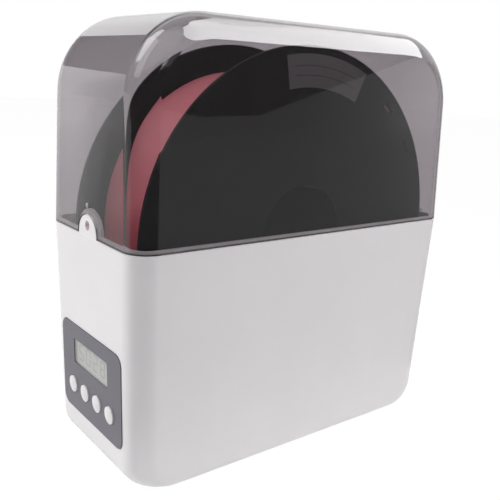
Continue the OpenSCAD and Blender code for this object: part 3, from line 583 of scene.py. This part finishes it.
def cards():
    """What the smoke lid mirrors: softboxes, sky and floor as pale cards, and dark cards between them."""
    low, near = HORIZON, 8.8
    card("front_softbox", [(-78, 46, 70, 13), (-70, 30, 70, 14), (-64, 19, 70, 14), (-60, 12, 70, 16),
                           (-57, 6.2, 70, 16.5), (-50, 6.0, 72, 17), (-38, 6.0, 76, 15.2), (-32, 13, 76, 14.5),
                           (-24, 23, 74, 12.5), (-12, 30, 68, 11), (0, 36, 62, 8.5), (9, 39, 58, 6.5),
                           (16, 41, 56, 4.5), (22, 42, 55, 1.5)])
    card("front_shade", [(-64, 0.3, 6.1, DARK), (-57, -0.8, 6.1, DARK), (-52, -0.6, 5.9, DARK),
                         (-48, 1.0, 5.9, DARK), (-44, 2.5, 5.8, DARK), (-38, 4.7, 5.5, DARK)], away=near)
    card("front_grey", [(-66, low, 6.1, 0.5), (-48, low, 5.9, 0.5), (-42, low, 5.9, 0.8), (-37.3, low, 5.9, 1.7)])
    card("front_floor", [(-66, 0.06, 9, 0.7, 0.5), (-50, 0.06, 9, 0.65, 0.45), (-42, 0.06, 9, 0.7, 0.8),
                         (-37.3, 0.06, 9, 0.8, 1.7)], feet=(FRONT_LEFT, FRONT_RIGHT, FRONT))
    card("right_shade", [(-37.2, low, 6, DARK), (-30, low, 11, DARK), (-8, low, 16, DARK), (8, low, 6, DARK)])
    card("right_floor_shade", [(-37.2, 0.05, 9, DARK), (8, 0.05, 9, DARK)], feet=(FRONT_RIGHT, FRONT_RIGHT, FRONT))
    card("near_shade", [(-196, low, 22, DARK), (-176, low, 29, DARK), (-100, low, 29, DARK), (-88, low, 16, DARK),
                        (-76, low, 12, DARK), (-66.1, low, 7, DARK)])
    card("near_floor_shade", [(-190, 0.05, 9, DARK), (-66.1, 0.05, 9, DARK)], feet=(FRONT_LEFT, FRONT_LEFT, FRONT))
    card("near_sky", [(-182, 31, 46, 1.6, 2.3), (-100, 30, 46, 1.6, 2.1), (-79, 24, 46, 1.7)])
    card("near_high_sky", [(-182, 46, 84, 2.5), (-100, 46, 84, 2.2), (-79, 46, 84, 1.8)])
    card("near_glint", [(-93, 18, 22, 6), (-86, 17, 21, 7), (-78, 14, 20, 3.5)], away=near)
    card("top_sky", [(24, 30, 40, 1.6), (32, 14, 40, 1.0, 2.1), (60, 14, 40, 1.0, 2.5), (80, 18, 40, 1.4, 2.2),
                     (89, 20, 40, 1.9, 2.2)])
    card("back_shade", [(89.1, 20, 34, DARK), (96, 14, 34, DARK), (118, 13.5, 34, DARK), (121, 4, 34, DARK),
                        (150, 4, 30, DARK), (164, 4, 22, DARK)])
    card("left_low", [(98, low, 13.6, 1.95), (114, low, 13.5, 1.8), (115.5, low, 13.4, 1.3), (117, low, 13.4, 1.0),
                      (120.9, low, 13.4, 0.9)])
    card("left_floor", [(98, 0.4, 3.2, 1.0, 1.95), (114, 0.4, 3.2, 1.0, 1.8), (115.5, 0.4, 3.2, 0.8, 1.3),
                        (117, 0.4, 3.2, 0.6, 1.0), (121, 0.4, 3.2, 0.6, 0.9), (136, 0.4, 3.2, 1.0, 1.0)],
         feet=END_FEET)
    card("left_far_floor", [(98, 3.2, 9, 1.95), (114, 3.2, 9, 1.8), (115.5, 3.2, 9, 1.3), (117, 3.2, 9, 1.0),
                            (121, 3.2, 9, 0.9), (136, 3.2, 9, 1.0)], feet=END_FEET)
    card("left_softbox", [(122, 49, 70, 7), (138, 44, 74, 11), (149, 33, 76, 10), (164, 38, 74, 8), (177, 47, 64, 3)])


def floor_and_world():
    """A pale floor that keeps the part's shadow, and soft grey light from a world that the camera sees as white."""
    floor_mesh = bpy.data.meshes.new("floor")
    reach = 4.0
    floor_mesh.from_pydata([(-reach, -reach, 0), (reach, -reach, 0), (reach, reach, 0), (-reach, reach, 0)], [],
                           [(0, 1, 2, 3)])
    floor = new_object("floor", floor_mesh)
    m, nt = nodes_of("pale_floor")
    matt, glow, mix = add(nt, "BsdfDiffuse"), add(nt, "Emission"), add(nt, "MixShader")
    matt.inputs["Color"].default_value = (0.8, 0.8, 0.8, 1)
    glow.inputs["Color"].default_value = (1, 1, 1, 1)
    glow.inputs["Strength"].default_value = 1.05
    share = add(nt, "Math", operation="MULTIPLY")
    share.inputs[1].default_value = 0.92
    nt.links.new(seen_rays(nt), share.inputs[0])
    nt.links.new(share.outputs[0], mix.inputs[0])
    nt.links.new(matt.outputs[0], mix.inputs[1])
    nt.links.new(glow.outputs[0], mix.inputs[2])
    finish_with(nt, mix.outputs[0])
    floor_mesh.materials.append(m)

    world = bpy.data.worlds.new("studio")
    bpy.context.scene.world = world
    world.use_nodes = True
    nt = world.node_tree
    nt.nodes.clear()
    out, white, soft, mix = add(nt, "OutputWorld"), add(nt, "Background"), add(nt, "Background"), add(nt, "MixShader")
    white.inputs["Color"].default_value = (1, 1, 1, 1)
    white.inputs["Strength"].default_value = 1.0
    soft.inputs["Color"].default_value = (0.97, 0.98, 1, 1)
    soft.inputs["Strength"].default_value = 0.27
    nt.links.new(seen_rays(nt), mix.inputs[0])
    nt.links.new(soft.outputs[0], mix.inputs[1])
    nt.links.new(white.outputs[0], mix.inputs[2])
    nt.links.new(mix.outputs[0], out.inputs["Surface"])


def softbox(name, place, aim, size, power, spread=180, in_gloss=False):
    """An area lamp in metres and watts, seen in reflections only with in_gloss."""
    data = bpy.data.lights.new(name, "AREA")
    data.spread = math.radians(spread)
    data.shape, data.size, data.size_y, data.energy = "RECTANGLE", size[0], size[1], power
    ob = new_object(name, data)
    ob.location = place
    ob.rotation_euler = (Vector(aim) - Vector(place)).to_track_quat("-Z", "Y").to_euler()
    ob.visible_camera = ob.visible_transmission = False
    ob.visible_glossy = in_gloss


def camera():
    """The camera's place and turn as solved from the case's edges; its focal length is in widths of the picture."""
    focal_widths = 684.085 / 500
    place = Vector((-0.2518 + SHIFT * MM, -0.31273, 0.20981))
    right = Vector((0.79246305, -0.6078397, 0.05033101))
    down = Vector((-0.11260659, -0.22691171, -0.9673835))
    ahead = Vector((0.59943479, 0.76094807, -0.2482659))
    data = bpy.data.cameras.new("camera")
    data.sensor_width, data.lens = 36.0, focal_widths * 36.0
    data.clip_start, data.clip_end = 0.01, 50
    ob = new_object("camera", data)
    ob.matrix_world = Matrix.Translation(place) @ Matrix((right, -down, -ahead)).transposed().to_4x4()
    bpy.context.scene.camera = ob


floor_and_world()
softbox("left_back", (-0.9, 1.35, 0.78), (0, 0, 0.12), (1.0, 1.3), 19)
softbox("left_top", (-0.8, -0.02, 0.9), (0, 0, 0.12), (0.5, 0.8), 4, in_gloss=True)
softbox("front_top", (0.5, -0.5, 0.7), (0.15, -0.2, 0), (0.6, 0.4), 1.08, spread=70)
softbox("winding_light", (-0.066, -0.08, 0.98), (-0.066, 0, 0.185), (0.08, 0.08), 0.04, spread=13)
cards()
camera()
bpy.context.scene.view_settings.view_transform = "Standard"
